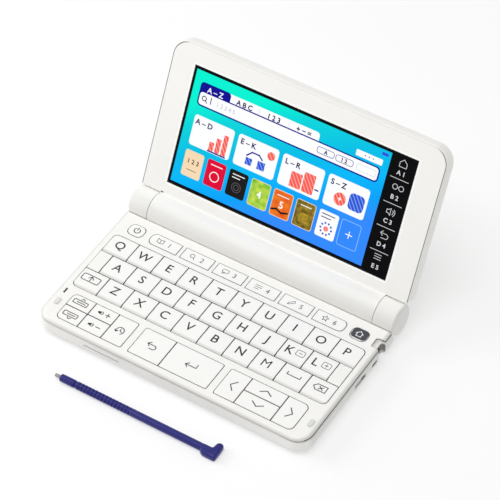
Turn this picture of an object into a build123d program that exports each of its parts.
from build123d import *
import os
from math import cos, sin, radians, sqrt

# Clamshell electronic dictionary: a keyboard base, a lid with a wide display and a thick hinge barrel
# that holds the two cells, and a loose stylus. Millimetres. +X is the user's right, +Y the hinge side
# and +Z up. The origin is the centre of the base's footprint on its flat underside.

os.makedirs("parts", exist_ok=True)

# ---------------------------------------------------------------- driving dimensions
# Overall body
BODY_W = 148.0
BODY_D = 93.2
CORNER_R = 8.0
BARREL_R = 8.2
HINGE_Z = 9.6
OPEN_ANGLE = 118.7
HINGE_Y = BODY_D / 2 - BARREL_R
FRONT_Y = -BODY_D / 2

# Base shells
DECK_Z = 9.5
PART_Z = 8.7
FLOOR_T = 1.4
WALL_T = 1.6
UNDER_R = 3.0
DECK_EDGE_BEVEL = 0.6
SEAM_IN = 0.45
SEAM_DOWN = 1.4
BLOCK_REAR_Y = HINGE_Y - 2.4
REAR_CORNER_R = 6.0
TROUGH_GAP = 0.35
KNUCKLE_X = 63.1
KNUCKLE_BEVEL = 1.0
FOOT_H = 0.8
FOOT_R = 3.5
FOOT_SEAT = 0.4

# Keyboard: a 14 x 12.4 mm grid of adjoining caps over a thin web that guides their stems
COL_PITCH = 14.0
ROW_PITCH = 12.4
GRID_MID_X = -0.2
GRID_TOP_Y = 15.0
KEY_TOP_Z = 9.8
KEY_GAP = 0.5
WINDOW_RIM = 0.1
OUTER_R = 2.8
INNER_R = 1.1
CAP_BOTTOM_Z = 9.0
WEB_TOP_Z = 8.3
WEB_BOTTOM_Z = 7.5
KEY_TRAVEL = 0.6
STEM_W = 6.0
STEM_D = 3.4
STEM_GAP = 0.2
FOOT_LEDGE = 0.6
KEY_FOOT_Z = 6.95
KEY_FOOT_T = 0.45

# Stylus and the tube that stores it
STYLUS_R = 1.9
STYLUS_TIP_X = -49.4
STYLUS_END_X = 40.3
STYLUS_Y = -65.5
NIB_R = 0.7
NIB_L = 3.0
HEAD_END = 10.6
GROOVE_W = 0.6
GROOVE_R = 1.5
HOOK_H = 3.7
SILO_BORE_R = 2.1
SILO_R = 2.75
SILO_Y = 21.2
SILO_Z = 3.4
SILO_END_X = -15.0
NOTCH_X = 71.6
SHELF_X = 69.4
NOTCH_Y0 = 18.0
NOTCH_Y1 = 24.4
SHELF_Z = 6.9

# Lid, drawn closed over the base and then swung open
LID_GAP_Z = 10.2
LID_T = 7.5
BEZEL_T = 0.6
LIP_T = 0.4
FRAME_W = 2.0
FRAME_DEPTH = 0.25
COVER_T = 1.2
LID_TOP_Z = LID_GAP_Z + LID_T
LID_PART_Z = LID_GAP_Z + BEZEL_T
LID_SIDE_X = BODY_W / 2 + 0.7
LID_FRONT_Y = HINGE_Y - 86.3
LID_SIDE_REAR_Y = HINGE_Y - 8.7
FLARE_IN = 1.1
FLARE_DEEP = 1.8
BARREL_X = 62.8
BARREL_BORE_R = 7.3
BARREL_BORE_X = 54.0
COVE_R = 0.8
LID_CORNER_R = CORNER_R + 0.9
LID_EDGE_R = 1.5
LID_REAR_CORNER_R = 2.2
WINDOW_X0 = -60.7
WINDOW_X1 = 60.3
WINDOW_NEAR = 15.0
WINDOW_FAR = 75.9
GLASS_LAP = 1.4
GLASS_T = 1.1
MODULE_T = 3.0

# Battery door on the barrel, and the cells behind it
DOOR_X = 50.0
DOOR_START = 15.7
DOOR_END = 109.7
DOOR_GAP = 0.2
GRIP_COUNT = 4
GRIP_START = 42.0
GRIP_STEP = 10.0
GRIP_W = 16.0
GRIP_DEPTH = 0.35
CELL_R = 5.25
CELL_L = 43.5
CELL_NUB_R = 1.9
CELL_NUB_L = 1.0
CELL_SPRING_L = 2.1
CONTACT_T = 0.5

# Hinge pins
PIN_R = 2.95
PIN_BORE_R = 3.0
PIN_X0 = 55.5
PIN_X1 = 72.4


# ---------------------------------------------------------------- small helpers
def box(x0, x1, y0, y1, z0, z1):
    return Pos((x0 + x1) / 2, (y0 + y1) / 2, (z0 + z1) / 2) * Box(x1 - x0, y1 - y0, z1 - z0)


def x_rod(radius, x0, x1, y, z):
    """A round bar along X."""
    return Pos((x0 + x1) / 2, y, z) * Rot(0, 90, 0) * Cylinder(radius, x1 - x0)


def yz_prism(points, x0, x1):
    """A bar along X with the closed (y, z) outline given."""
    face = make_face(Plane.YZ * Polyline(*points, close=True))
    return Pos(x0, 0, 0) * extrude(face, x1 - x0, dir=(1, 0, 0))


def rounded_plan(x_half, y0, y1, front_r, z0, z1):
    """A plate whose two front corners are rounded."""
    plan = Pos(0, (y0 + y1) / 2) * Rectangle(2 * x_half, y1 - y0)
    plan = fillet(plan.vertices().group_by(Axis.Y)[0], front_r)
    return Pos(0, 0, z0) * extrude(plan, z1 - z0)


def rounded_rect(x0, x1, y0, y1, z0, z1, radius):
    """A block whose four upright edges are rounded."""
    plan = Pos((x0 + x1) / 2, (y0 + y1) / 2) * RectangleRounded(x1 - x0, y1 - y0, radius)
    return Pos(0, 0, z0) * extrude(plan, z1 - z0)


def swing_open(part):
    """Turn a lid piece from closed to its rest angle about the hinge axis."""
    return Pos(0, HINGE_Y, HINGE_Z) * Rot(-OPEN_ANGLE, 0, 0) * Pos(0, -HINGE_Y, -HINGE_Z) * part


def save(part, node):
    export_step(part, f"parts/{node}.step")


# ---------------------------------------------------------------- keyboard layout
# Each key has a name, its cell (x0, x1, y0, y1), and the radius of each corner that is rounded.
def key_cells():
    return letter_cells() + menu_cells() + page_cells() + answer_cells() + arrow_cells()


def grid_x(column):
    return GRID_MID_X + column * COL_PITCH


def letter_cells():
    cells = []
    rows = ["qwertyuiop", "asdfghjkl", "zxcvbnm"]
    starts = [-5.0, -4.5, -4.0]
    for row, (letters, start) in enumerate(zip(rows, starts)):
        y1 = GRID_TOP_Y - row * ROW_PITCH
        for i, letter in enumerate(letters):
            cell = (grid_x(start + i), grid_x(start + i + 1), y1 - ROW_PITCH, y1)
            corners = {"q": {"rear_left": OUTER_R}, "p": {"rear_right": OUTER_R}}.get(letter, {})
            cells.append((f"key_{letter}", cell, corners))
    y1 = GRID_TOP_Y - 2 * ROW_PITCH
    y0 = y1 - ROW_PITCH
    cells.append(("key_shift", (grid_x(-5), grid_x(-4), y0, y1), {"front_left": OUTER_R}))
    cells.append(("key_space", (grid_x(3), grid_x(4), y0, y1), {}))
    cells.append(("key_delete", (grid_x(4), grid_x(5), y0, y1), {"front_right": OUTER_R}))
    return cells


MENU_Y0, MENU_Y1 = 18.0, 25.0
MENU_W, MENU_PITCH, MENU_X0 = 16.45, 18.4, -54.45
POWER_X = (-66.8, -58.2)
HOME_X = (57.2, 66.1)
LEFT_END = {"rear_left": OUTER_R, "front_left": OUTER_R}
RIGHT_END = {"rear_right": OUTER_R, "front_right": OUTER_R}


def menu_cells():
    """Rear row: power, six subject keys and the dark home key."""
    cells = [("key_power", (*POWER_X, MENU_Y0, MENU_Y1), {**LEFT_END, **RIGHT_END})]
    ends = {0: LEFT_END, 5: RIGHT_END}
    for i in range(6):
        x0 = MENU_X0 + i * MENU_PITCH
        cells.append((f"key_menu_{i + 1}", (x0, x0 + MENU_W, MENU_Y0, MENU_Y1), ends.get(i, {})))
    cells.append(("key_home", (*HOME_X, MENU_Y0, MENU_Y1), {**LEFT_END, **RIGHT_END}))
    return cells


LOWER_Y0, LOWER_Y1, LOWER_MID_Y = -42.3, -25.8, -33.5
PAGE_X = (-65.3, -52.85, -39.7, -28.5)
ANSWER_X = (-24.8, -7.7, 18.65)
ARROW_X = (22.25, 33.6, 53.2, 64.5)
LEFT_INNER = {"rear_left": INNER_R, "front_left": INNER_R}
RIGHT_INNER = {"rear_right": INNER_R, "front_right": INNER_R}


def page_cells():
    """Front left: paging and volume pairs, and a tall history key."""
    a, b, c, d = PAGE_X
    return [
        ("key_page_up", (a, b, LOWER_MID_Y, LOWER_Y1), {"rear_left": OUTER_R}),
        ("key_page_down", (a, b, LOWER_Y0, LOWER_MID_Y), {"front_left": OUTER_R}),
        ("key_volume_up", (b, c, LOWER_MID_Y, LOWER_Y1), {}),
        ("key_volume_down", (b, c, LOWER_Y0, LOWER_MID_Y), {}),
        ("key_history", (c, d, LOWER_Y0, LOWER_Y1), RIGHT_INNER),
    ]


def answer_cells():
    """Front middle: back and the wide enter key."""
    a, b, c = ANSWER_X
    return [
        ("key_back", (a, b, LOWER_Y0, LOWER_Y1), LEFT_INNER),
        ("key_enter", (b, c, LOWER_Y0, LOWER_Y1), RIGHT_INNER),
    ]


def arrow_cells():
    """Front right: left and right arrows with up and down between them."""
    a, b, c, d = ARROW_X
    return [
        ("key_left", (a, b, LOWER_Y0, LOWER_Y1), LEFT_INNER),
        ("key_up", (b, c, LOWER_MID_Y, LOWER_Y1), {}),
        ("key_down", (b, c, LOWER_Y0, LOWER_MID_Y), {}),
        ("key_right", (c, d, LOWER_Y0, LOWER_Y1), RIGHT_END),
    ]


def key_windows():
    """The deck's recesses, each a little wider than the caps it holds."""
    grid = (grid_x(-5), grid_x(5), GRID_TOP_Y - 3 * ROW_PITCH, GRID_TOP_Y)
    spans = [
        (grid, {**LEFT_END, **RIGHT_END}),
        ((PAGE_X[0], PAGE_X[-1], LOWER_Y0, LOWER_Y1), {**LEFT_END, **RIGHT_INNER}),
        ((ANSWER_X[0], ANSWER_X[-1], LOWER_Y0, LOWER_Y1), {**LEFT_INNER, **RIGHT_INNER}),
        ((ARROW_X[0], ARROW_X[-1], LOWER_Y0, LOWER_Y1), {**LEFT_INNER, **RIGHT_END}),
    ]
    return spans + [(cell, corners) for _, cell, corners in menu_cells()]


# ---------------------------------------------------------------- keys
FRONT_SLOPE = 2.4
FRONT_DROP = 0.4
REAR_DROP = 0.15
SMALL_KEY_DROP = 0.1


def stem_width(x0, x1):
    return min(STEM_W, x1 - x0 - 3.2)


def corner_of(edge, x_mid, y_mid):
    side = "right" if edge.center().X > x_mid else "left"
    end = "rear" if edge.center().Y > y_mid else "front"
    return f"{end}_{side}"


def round_uprights(block, corners, ease):
    """Round the named upright corners of a block, each by its own radius less the ease."""
    middle = block.center()
    for radius in sorted(set(corners.values())):
        uprights = block.edges().filter_by(Axis.Z)
        chosen = [e for e in uprights if corners.get(corner_of(e, middle.X, middle.Y)) == radius]
        block = fillet(chosen, radius - ease)
    return block


def key_cap(x0, x1, y0, y1, corners, sloped=True):
    """A cap with the named corners rounded. The letter keys' caps fall off towards the front edge."""
    g = KEY_GAP / 2
    x0, x1, y0, y1 = x0 + g, x1 - g, y0 + g, y1 - g
    front, rear = (FRONT_DROP, REAR_DROP) if sloped else (SMALL_KEY_DROP, SMALL_KEY_DROP)
    outline = [
        (y0, CAP_BOTTOM_Z),
        (y1, CAP_BOTTOM_Z),
        (y1, KEY_TOP_Z - rear),
        (y0 + FRONT_SLOPE, KEY_TOP_Z - (0 if sloped else SMALL_KEY_DROP)),
        (y0, KEY_TOP_Z - front),
    ]
    return round_uprights(yz_prism(outline, x0, x1), corners, g)


def key(x0, x1, y0, y1, rounded, sloped):
    """A cap on its stem, with a ledge below the web that keeps it in."""
    xc, yc = (x0 + x1) / 2, (y0 + y1) / 2
    half = stem_width(x0, x1) / 2
    stem = box(xc - half, xc + half, yc - STEM_D / 2, yc + STEM_D / 2, KEY_FOOT_Z, CAP_BOTTOM_Z)
    reach = half + FOOT_LEDGE
    ledge = box(xc - reach, xc + reach, yc - STEM_D / 2, yc + STEM_D / 2, KEY_FOOT_Z, KEY_FOOT_Z + KEY_FOOT_T)
    return key_cap(x0, x1, y0, y1, rounded, sloped) + stem + ledge


def stem_hole(x0, x1, y0, y1):
    xc, yc = (x0 + x1) / 2, (y0 + y1) / 2
    half_x = stem_width(x0, x1) / 2 + STEM_GAP
    half_y = STEM_D / 2 + STEM_GAP
    return box(xc - half_x, xc + half_x, yc - half_y, yc + half_y, WEB_BOTTOM_Z - 1, DECK_Z)


# ---------------------------------------------------------------- base
BOSS_R = 2.4
SCREW_SINK_R = 2.0
SCREW_SINK = 1.0
BOSSES = [(-69.2, -36.0), (69.2, -36.0), (-50.0, 26.6), (50.0, 26.6)]
FEET = [(-58.0, -38.0), (58.0, -38.0), (-58.0, 31.0), (58.0, 31.0)]


def base_block():
    """The base's outside as one solid, up to the deck."""
    block = rounded_plan(BODY_W / 2, FRONT_Y, BLOCK_REAR_Y, CORNER_R, 0, DECK_Z)
    block = fillet(block.edges().filter_by(Axis.Z).group_by(Axis.Y)[-1], REAR_CORNER_R)
    block = fillet(block.faces().sort_by(Axis.Z)[0].edges(), UNDER_R)
    top = block.faces().sort_by(Axis.Z)[-1].edges()
    top_rear = top.sort_by(Axis.Y)[-1]
    return chamfer([e for e in top if e != top_rear], DECK_EDGE_BEVEL)


def trough():
    """The space that the lid's barrel turns in, between the knuckles."""
    r = BARREL_R + TROUGH_GAP
    scoop = x_rod(r, -KNUCKLE_X, KNUCKLE_X, HINGE_Y, HINGE_Z)
    behind = box(-KNUCKLE_X, KNUCKLE_X, BLOCK_REAR_Y, HINGE_Y + 20, -1, HINGE_Z + 10)
    above = box(-KNUCKLE_X, KNUCKLE_X, HINGE_Y - r, HINGE_Y, HINGE_Z, HINGE_Z + 10)
    return scoop + behind + above


def knuckle(side):
    """One end of the hinge barrel, which belongs to the base."""
    x0, x1 = sorted((side * KNUCKLE_X, side * BODY_W / 2))
    body = x_rod(BARREL_R, x0, x1, HINGE_Y, HINGE_Z)
    rims = body.edges().filter_by(GeomType.CIRCLE).sort_by(Axis.X)
    return chamfer(rims[-1] if side > 0 else rims[0], KNUCKLE_BEVEL)


CAVITY_REAR_Y = BLOCK_REAR_Y - REAR_CORNER_R


def base_cavity():
    inner = rounded_plan(
        BODY_W / 2 - WALL_T, FRONT_Y + WALL_T, CAVITY_REAR_Y, CORNER_R - WALL_T, FLOOR_T, PART_Z + 1
    )
    rear_wall = x_rod(BARREL_R + TROUGH_GAP + FLOOR_T, -BODY_W / 2, BODY_W / 2, HINGE_Y, HINGE_Z)
    return inner - rear_wall


def stylus_notch():
    """The stepped cut in the right-hand edge where the stylus's hooked end is taken hold of."""
    through = rounded_rect(NOTCH_X, BODY_W / 2 + 4, NOTCH_Y0, NOTCH_Y1, -1, DECK_Z + 1, 1.0)
    shelf = rounded_rect(SHELF_X, BODY_W / 2 + 4, NOTCH_Y0, NOTCH_Y1, SHELF_Z, DECK_Z + 1, 1.5)
    return through + shelf


def side_ports():
    """The small socket and the card slot in the right side, and the speaker slit in the front."""
    socket = box(BODY_W / 2 - 3, BODY_W / 2 + 1, 12.2, 16.6, 2.5, 4.3)
    card = box(BODY_W / 2 - 3, BODY_W / 2 + 1, -3.0, 6.4, 2.6, 5.4)
    slit = box(-46.4, -26.6, FRONT_Y - 1, FRONT_Y + 3, 4.2, 5.0)
    jack = x_rod(1.8, -BODY_W / 2 - 1, -BODY_W / 2 + 3, 8.0, 4.6)
    return socket + card + slit + jack


def bottom_case():
    case = split(base_block(), bisect_by=Plane.XY.offset(PART_Z), keep=Keep.BOTTOM)
    rim = case.faces().sort_by(Axis.Z)[-1]
    case = chamfer(rim.edges(), SEAM_IN, SEAM_DOWN, reference=rim)
    case = case - trough() + knuckle(-1) + knuckle(1) - base_cavity()
    case += box(SHELF_X - 1.4, BODY_W / 2 - WALL_T, NOTCH_Y0 - 1.2, NOTCH_Y1 + 3.0, FLOOR_T, PART_Z)
    case -= x_rod(SILO_R + 0.05, SILO_END_X - 0.3, NOTCH_X, SILO_Y, SILO_Z)
    case -= stylus_notch() + side_ports()
    for x, y in BOSSES:
        case += box(x - BOSS_R, x + BOSS_R, y - BOSS_R, y + BOSS_R, FLOOR_T, WEB_BOTTOM_Z)
        case -= Pos(x, y, SCREW_SINK / 2) * Cylinder(SCREW_SINK_R, SCREW_SINK)
    for x, y in FEET:
        case -= Pos(x, y, FOOT_SEAT / 2) * Cylinder(FOOT_R + 0.05, FOOT_SEAT)
    for side in (-1, 1):
        case -= x_rod(PIN_R, *sorted((side * (KNUCKLE_X - 1), side * PIN_X1)), HINGE_Y, HINGE_Z)
    return case


def row_spacers():
    """The two half-width blanks that fill the ends of the middle letter row."""
    y1 = GRID_TOP_Y - ROW_PITCH
    y0 = y1 - ROW_PITCH
    blanks = []
    for x0, x1 in ((grid_x(-5), grid_x(-4.5)), (grid_x(4.5), grid_x(5))):
        foot = box(x0 + 1, x1 - 1, y0 + 1, y1 - 1, WEB_TOP_Z - 0.2, CAP_BOTTOM_Z + 0.2)
        blanks.append(key_cap(x0, x1, y0, y1, {}) + foot)
    return blanks


LED_X, LED_Y = -70.2, -26.7


def keyboard_deck():
    rim = split(base_block(), bisect_by=Plane.XY.offset(PART_Z), keep=Keep.TOP)
    rear = HINGE_Y - BARREL_R - TROUGH_GAP
    rim -= box(-BODY_W, BODY_W, rear, HINGE_Y + 20, 0, 20)
    tray = rounded_plan(
        BODY_W / 2 - WALL_T - 0.2, FRONT_Y + WALL_T + 0.2, rear - 2.0, CORNER_R - WALL_T - 0.2,
        WEB_BOTTOM_Z, PART_Z + 0.3,
    )
    tray -= box(SHELF_X - 1.6, BODY_W, NOTCH_Y0 - 1.4, HINGE_Y, 0, PART_Z)
    deck = rim + tray
    for (x0, x1, y0, y1), corners in key_windows():
        rim = WINDOW_RIM
        recess = box(x0 - rim, x1 + rim, y0 - rim, y1 + rim, WEB_TOP_Z, DECK_Z + 1)
        deck -= round_uprights(recess, corners, 0)
    for blank in row_spacers():
        deck += blank
    for _, cell, _ in key_cells():
        deck -= stem_hole(*cell)
    deck -= stylus_notch()
    return deck - box(LED_X - 0.5, LED_X + 0.5, LED_Y - 1.6, LED_Y + 1.6, 0, DECK_Z + 1)


BUMPER_X, BUMPER_Y = 69.7, -34.0


def rubber_pads():
    """Four round feet under the base, and two low oval bumpers that the lid closes on."""
    pads = [Pos(x, y, (FOOT_SEAT - FOOT_H) / 2) * Cylinder(FOOT_R, FOOT_SEAT + FOOT_H) for x, y in FEET]
    for side in (-1, 1):
        oval = Pos(side * BUMPER_X, BUMPER_Y) * SlotOverall(4.4, 2.4, rotation=90)
        pads.append(Pos(0, 0, DECK_Z) * extrude(oval, 0.6))
    return Compound(children=pads)


def stylus_silo():
    """A blind tube that stores the stylus below the rear keys."""
    tube = x_rod(SILO_R, SILO_END_X, NOTCH_X - 0.1, SILO_Y, SILO_Z)
    return tube - x_rod(SILO_BORE_R, SILO_END_X + 1.0, NOTCH_X + 1, SILO_Y, SILO_Z)


# ---------------------------------------------------------------- electronics in the base
BOARD_Z = 5.2
BOARD_T = 0.8
DOME_R = 2.0
DOME_T = 0.28


def main_board():
    """The board with its key domes, the strip over the silo, and what is soldered to it."""
    x_half = 66.4
    solids = [box(-x_half, x_half, FRONT_Y + 3.2, NOTCH_Y0 - 0.6, BOARD_Z, BOARD_Z + BOARD_T)]
    top = BOARD_Z + BOARD_T
    for _, (x0, x1, y0, y1), _ in key_cells():
        if y0 >= MENU_Y0:
            continue
        xc, yc = (x0 + x1) / 2, (y0 + y1) / 2
        solids.append(box(xc - DOME_R, xc + DOME_R, yc - DOME_R, yc + DOME_R, top, top + DOME_T))
    strip_z = SILO_Z + SILO_R
    solids.append(box(-67.5, 67.5, NOTCH_Y0 - 0.2, NOTCH_Y1 - 0.6, strip_z, strip_z + 0.12))
    solids.append(box(-30, -14, -12, 4, BOARD_Z - 1.4, BOARD_Z))
    solids.append(box(-6, 10, -10, 2, BOARD_Z - 1.2, BOARD_Z))
    solids.append(box(20, 44, -20, 6, BOARD_Z - 1.6, BOARD_Z))
    solids.append(box(56.5, 72.2, -3.6, 7.0, BOARD_Z - 2.9, BOARD_Z))
    solids.append(box(66.6, 72.2, 11.4, 16.6, 2.3, BOARD_Z + 0.4))
    solids.append(box(-72.2, -60.0, 4.8, 11.2, 1.6, BOARD_Z) - x_rod(1.8, -73, -60.8, 8.0, 3.9))
    solids.append(box(LED_X - 0.35, LED_X + 0.35, LED_Y - 1.3, LED_Y + 1.3, WEB_BOTTOM_Z, DECK_Z - 0.3))
    solids.append(Pos(-36.5, -32.0, 3.2) * Cylinder(8.5, 3.4))
    return Compound(children=solids)


# ---------------------------------------------------------------- lid, drawn closed
def lid_block():
    """The lid's outside as one solid: the flat panel, and the barrel that it runs into."""
    panel = rounded_plan(LID_SIDE_X, LID_FRONT_Y, LID_SIDE_REAR_Y, LID_CORNER_R, LID_GAP_Z, LID_TOP_Z)
    top = panel.faces().sort_by(Axis.Z)[-1].edges()
    top_rear = top.sort_by(Axis.Y)[-1]
    panel = fillet([e for e in top if e != top_rear], LID_EDGE_R)
    face = panel.faces().sort_by(Axis.Z)[0]
    face_rear = face.edges().sort_by(Axis.Y)[-1]
    sides = [e for e in face.edges() if e != face_rear]
    panel = chamfer(sides, FLARE_IN, FLARE_DEEP, reference=face)
    for side in (-1, 1):
        x, y, r = side * LID_SIDE_X, LID_SIDE_REAR_Y, LID_REAR_CORNER_R
        nook = Pos(x, y, LID_TOP_Z) * Box(2 * r, 2 * r, 4 * LID_T)
        panel -= nook - Pos(x - side * r, y - r, LID_TOP_Z) * Cylinder(r, 4 * LID_T)
    neck = box(-BARREL_X, BARREL_X, LID_SIDE_REAR_Y - 5, HINGE_Y, LID_GAP_Z, LID_TOP_Z)
    barrel = x_rod(BARREL_R, -BARREL_X, BARREL_X, HINGE_Y, HINGE_Z)
    return panel + (neck + barrel + lid_cove())


def lid_cove():
    """The hollow curve that carries the lid's face round into the barrel."""
    z = LID_GAP_Z - COVE_R
    y = HINGE_Y - sqrt((BARREL_R + COVE_R) ** 2 - (z - HINGE_Z) ** 2)
    corner = [(y, LID_GAP_Z), (HINGE_Y, LID_GAP_Z), (HINGE_Y, HINGE_Z), (y, z)]
    return yz_prism(corner, -BARREL_X, BARREL_X) - x_rod(COVE_R, -BODY_W, BODY_W, y, z)


def barrel_bore():
    bore = x_rod(BARREL_BORE_R, -BARREL_BORE_X, BARREL_BORE_X, HINGE_Y, HINGE_Z)
    pins = x_rod(PIN_BORE_R, -BARREL_X - 1, BARREL_X + 1, HINGE_Y, HINGE_Z)
    return bore + pins


def window_y():
    return HINGE_Y - WINDOW_FAR, HINGE_Y - WINDOW_NEAR


def door_wedge(gap):
    """The sector of the barrel, in the closed lid, that the battery door takes up."""
    reach = BARREL_R * 2
    a0, a1 = radians(DOOR_START), radians(DOOR_END)
    mid = (a0 + a1) / 2
    rays = [(HINGE_Y + reach * cos(a), HINGE_Z + reach * sin(a)) for a in (a0, mid, a1)]
    wedge = yz_prism([(HINGE_Y, HINGE_Z), *rays], -DOOR_X + gap, DOOR_X - gap)
    for a, sign in ((a0, 1), (a1, -1)):
        nudge = Pos(0, -sin(a) * gap * sign, cos(a) * gap * sign)
        wedge = wedge & (nudge * wedge)
    return wedge - x_rod(BARREL_BORE_R - 0.02, -BODY_W, BODY_W, HINGE_Y, HINGE_Z)


def window_frame(y0, y1):
    """The shallow slope that leads from the lid's face down to the glass, as a cutter."""
    middle = ((WINDOW_X0 + WINDOW_X1) / 2, (y0 + y1) / 2)
    size = (WINDOW_X1 - WINDOW_X0, y1 - y0)
    outer = Pos(*middle, LID_GAP_Z) * Rectangle(size[0] + 2 * FRAME_W, size[1] + 2 * FRAME_W)
    inner = Pos(*middle, LID_GAP_Z + FRAME_DEPTH) * Rectangle(*size)
    return loft([outer, inner], ruled=True)


def lid_bezel():
    front = split(lid_block(), bisect_by=Plane.XY.offset(LID_PART_Z), keep=Keep.BOTTOM)
    y0, y1 = window_y()
    front -= rounded_rect(WINDOW_X0, WINDOW_X1, y0, y1, LID_GAP_Z - 1, LID_PART_Z + 1, 0.8)
    front -= window_frame(y0, y1)
    lap = GLASS_LAP + 0.15
    front -= box(WINDOW_X0 - lap, WINDOW_X1 + lap, y0 - lap, y1 + lap, LID_GAP_Z + LIP_T, LID_PART_Z + 1)
    return swing_open(front - barrel_bore() - door_wedge(0))


def lid_cover():
    shell = split(lid_block(), bisect_by=Plane.XY.offset(LID_PART_Z), keep=Keep.TOP)
    inside = rounded_plan(
        LID_SIDE_X - WALL_T, LID_FRONT_Y + WALL_T, HINGE_Y - BARREL_R - 2.0, LID_CORNER_R - WALL_T,
        LID_PART_Z - 1, LID_TOP_Z - COVER_T,
    )
    shell = shell - inside - barrel_bore()
    return swing_open(shell - door_wedge(0))


def battery_door():
    door = lid_block() & door_wedge(DOOR_GAP)
    for i in range(GRIP_COUNT):
        turn = Pos(0, HINGE_Y, HINGE_Z) * Rot(GRIP_START + i * GRIP_STEP, 0, 0)
        door -= turn * box(-GRIP_W / 2, GRIP_W / 2, BARREL_R - GRIP_DEPTH, BARREL_R + 1, -0.4, 0.4)
    return swing_open(door)


def display_module():
    """The touch panel's glass, and the liquid crystal panel and frame behind it."""
    y0, y1 = window_y()
    z = LID_GAP_Z + LIP_T
    lap = GLASS_LAP
    glass = box(WINDOW_X0 - lap, WINDOW_X1 + lap, y0 - lap, y1 + lap, z, z + GLASS_T)
    panel = box(WINDOW_X0 - 0.6, WINDOW_X1 + 0.6, y0 - 0.6, y1 + 0.6, z + GLASS_T, z + GLASS_T + MODULE_T)
    return swing_open(Compound(children=[glass, panel]))


def battery_cells():
    """Two cells end to end in the barrel, between a spring plate and a flat plate."""
    solids = []
    x0 = -(CELL_L + CELL_NUB_L)
    for i in range(2):
        start = x0 + i * (CELL_L + CELL_NUB_L)
        cell = x_rod(CELL_R, start, start + CELL_L, HINGE_Y, HINGE_Z)
        solids.append(cell + x_rod(CELL_NUB_R, start + CELL_L - 0.1, start + CELL_L + CELL_NUB_L, HINGE_Y, HINGE_Z))
    end = CELL_L + CELL_NUB_L
    for x in (end, -end - CELL_SPRING_L - CONTACT_T):
        contact = box(x, x + CONTACT_T, HINGE_Y - 4, HINGE_Y + 4, HINGE_Z - 4, HINGE_Z + 4)
        solids.append(contact)
    spring = Cone(3.4, 2.2, CELL_SPRING_L)
    solids.append(Pos(-end - CELL_SPRING_L / 2, HINGE_Y, HINGE_Z) * Rot(0, 90, 0) * spring)
    return swing_open(Compound(children=solids))


def hinge_pins():
    pins = []
    for side in (-1, 1):
        x0, x1 = sorted((side * PIN_X0, side * (PIN_X1 - 0.1)))
        pins.append(x_rod(PIN_R - 0.01, x0, x1, HINGE_Y, HINGE_Z))
    return Compound(children=pins)


# ---------------------------------------------------------------- stylus
def stylus():
    """Nib, head, shaft and hooked end, lying on the surface in front of the base."""
    profile = [
        (0.0, 0.0),
        (0.0, NIB_R),
        (NIB_L, NIB_R),
        (NIB_L, STYLUS_R - 0.6),
        (NIB_L + 0.8, STYLUS_R),
        (HEAD_END, STYLUS_R),
        (HEAD_END, GROOVE_R),
        (HEAD_END + GROOVE_W, GROOVE_R),
        (HEAD_END + GROOVE_W, STYLUS_R),
        (STYLUS_END_X - STYLUS_TIP_X - 2.4, STYLUS_R),
        (STYLUS_END_X - STYLUS_TIP_X - 2.4, 0.0),
    ]
    outline = make_face(Plane.XZ * Polyline(*profile, close=True))
    shaft = Pos(STYLUS_TIP_X, STYLUS_Y, STYLUS_R - FOOT_H) * revolve(outline, Axis.X)
    return shaft + Pos(0, STYLUS_Y, 0) * hook()


def hook():
    """The stylus's end: a block that swells towards the front, and an arm across the shaft."""
    end = STYLUS_END_X
    outline = [
        (end - 9.5, -1.6), (end - 7.8, -3.3), (end - 1.3, -3.5), (end, -2.2), (end, 4.6),
        (end - 1.2, 5.9), (end - 2.9, 5.9), (end - 4.1, 4.7), (end - 4.3, 2.4), (end - 5.0, 1.7),
        (end - 9.5, 1.7),
    ]
    plate = extrude(make_face(Plane.XY * Polyline(*outline, close=True)), HOOK_H)
    plate = chamfer(plate.faces().sort_by(Axis.Z)[-1].edges(), 0.7)
    return Pos(0, 0, -FOOT_H) * plate


# ---------------------------------------------------------------- write the parts
NODES = {
    "bottom_case": bottom_case,
    "keyboard_deck": keyboard_deck,
    "rubber_pads": rubber_pads,
    "stylus_silo": stylus_silo,
    "main_board": main_board,
    "lid_bezel": lid_bezel,
    "lid_cover": lid_cover,
    "display_module": display_module,
    "battery_door": battery_door,
    "battery_cells": battery_cells,
    "hinge_pins": hinge_pins,
    "stylus": stylus,
}

for node, make in NODES.items():
    save(make(), node)

LETTER_KEYS = [node for node, _, _ in letter_cells()]

for node, cell, rounded in key_cells():
    save(key(*cell, rounded, sloped=node in LETTER_KEYS), node)
